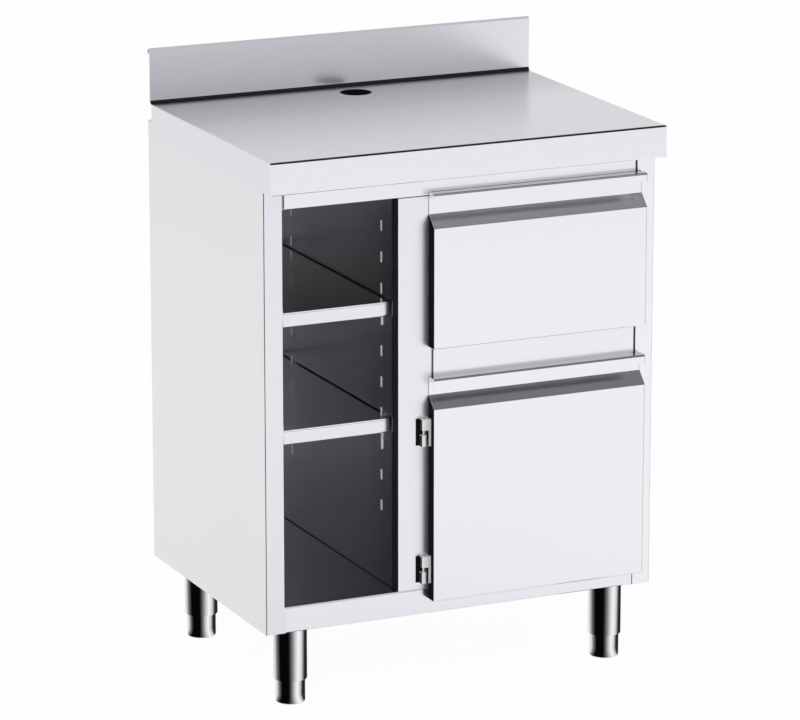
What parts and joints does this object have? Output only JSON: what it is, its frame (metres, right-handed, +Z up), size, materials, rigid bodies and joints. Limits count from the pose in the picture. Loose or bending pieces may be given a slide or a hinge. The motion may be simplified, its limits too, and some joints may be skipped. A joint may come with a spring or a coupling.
{
  "type": "waiter service station",
  "caption": "Stainless steel waiter station: worktop with upstand and cable hole, open bay with shelves, sliding drawer, hinged door and levelling feet.",
  "frame": {"origin": "on the floor, in the middle of the width and of the depth", "axes": "+Z up, +X to the right seen from the front, the front faces -Y"},
  "size_m": [0.65, 0.488, 0.94],
  "materials": {
    "worktop_steel": "satin",
    "panel_steel": "satin",
    "inside_steel": "satin",
    "shelf_steel": "satin",
    "runner_steel": "zinc plated",
    "hinge_steel": "satin",
    "polished_steel": "polished",
    "board": "raw chipboard",
    "magnet": "matte"
  },
  "bodies": {
    "carcass": {"worktop": "worktop_steel", "worktop_board_front": "board", "worktop_board_rear_left": "board", "worktop_board_rear_right": "board", "door_magnet": "magnet", "side_left": "panel_steel", "side_right": "panel_steel", "back_panel": "panel_steel", "bottom_tray": "panel_steel", "top_rail": "panel_steel", "mid_stile": "panel_steel", "mid_rail": "panel_steel", "partition_bay": "inside_steel", "partition_door": "inside_steel", "upright_front": "inside_steel", "upright_rear": "inside_steel", "shelf_upper": "shelf_steel", "shelf_lower": "shelf_steel", "clip_upper_front_left": "hinge_steel", "clip_upper_front_right": "hinge_steel", "clip_upper_rear_left": "hinge_steel", "clip_upper_rear_right": "hinge_steel", "clip_lower_front_left": "hinge_steel", "clip_lower_front_right": "hinge_steel", "clip_lower_rear_left": "hinge_steel", "clip_lower_rear_right": "hinge_steel", "runner_cabinet_left": "runner_steel", "runner_cabinet_right": "runner_steel", "runner_bracket": "runner_steel", "hinge_frame_upper": "hinge_steel", "hinge_frame_lower": "hinge_steel", "leg_front_left": "polished_steel", "leg_front_right": "polished_steel", "leg_rear_left": "polished_steel", "leg_rear_right": "polished_steel"},
    "drawer": {"drawer_front": "panel_steel", "drawer_pan": "inside_steel", "drawer_box": "inside_steel", "runner_drawer_left": "runner_steel", "runner_drawer_right": "runner_steel"},
    "runner_middle_left": {"runner_middle_left": "runner_steel"},
    "runner_middle_right": {"runner_middle_right": "runner_steel"},
    "door": {"door_front": "panel_steel", "door_pan": "inside_steel", "hinge_door_upper": "hinge_steel", "hinge_door_lower": "hinge_steel", "door_strike": "hinge_steel"},
    "foot_front_left": {"foot_front_left": "polished_steel"},
    "foot_front_right": {"foot_front_right": "polished_steel"},
    "foot_rear_left": {"foot_rear_left": "polished_steel"},
    "foot_rear_right": {"foot_rear_right": "polished_steel"}
  },
  "joints": [
    {"name": "drawer_slide", "type": "slide", "parent": "carcass", "child": "drawer", "axis": [0, -1, 0], "range_m": [0, 0.35]},
    {"name": "runner_middle_left_slide", "type": "slide", "parent": "carcass", "child": "runner_middle_left", "axis": [0, -1, 0], "range_m": [0, 0.175]},
    {"name": "runner_middle_right_slide", "type": "slide", "parent": "carcass", "child": "runner_middle_right", "axis": [0, -1, 0], "range_m": [0, 0.175]},
    {"name": "door_hinge", "type": "hinge", "parent": "carcass", "child": "door", "pos_m": [-0.067, -0.2165, 0.32], "axis": [0, 0, -1], "range_deg": [0, 130]},
    {"name": "foot_front_left_slide", "type": "slide", "parent": "carcass", "child": "foot_front_left", "axis": [0, 0, -1], "range_m": [0, 0.025]},
    {"name": "foot_front_right_slide", "type": "slide", "parent": "carcass", "child": "foot_front_right", "axis": [0, 0, -1], "range_m": [0, 0.025]},
    {"name": "foot_rear_left_slide", "type": "slide", "parent": "carcass", "child": "foot_rear_left", "axis": [0, 0, -1], "range_m": [0, 0.025]},
    {"name": "foot_rear_right_slide", "type": "slide", "parent": "carcass", "child": "foot_rear_right", "axis": [0, 0, -1], "range_m": [0, 0.025]}
  ],
  "couplings": [
    {"joint": "runner_middle_left_slide", "follows": "drawer_slide", "ratio": 0.5},
    {"joint": "runner_middle_right_slide", "follows": "drawer_slide", "ratio": 0.5}
  ]
}
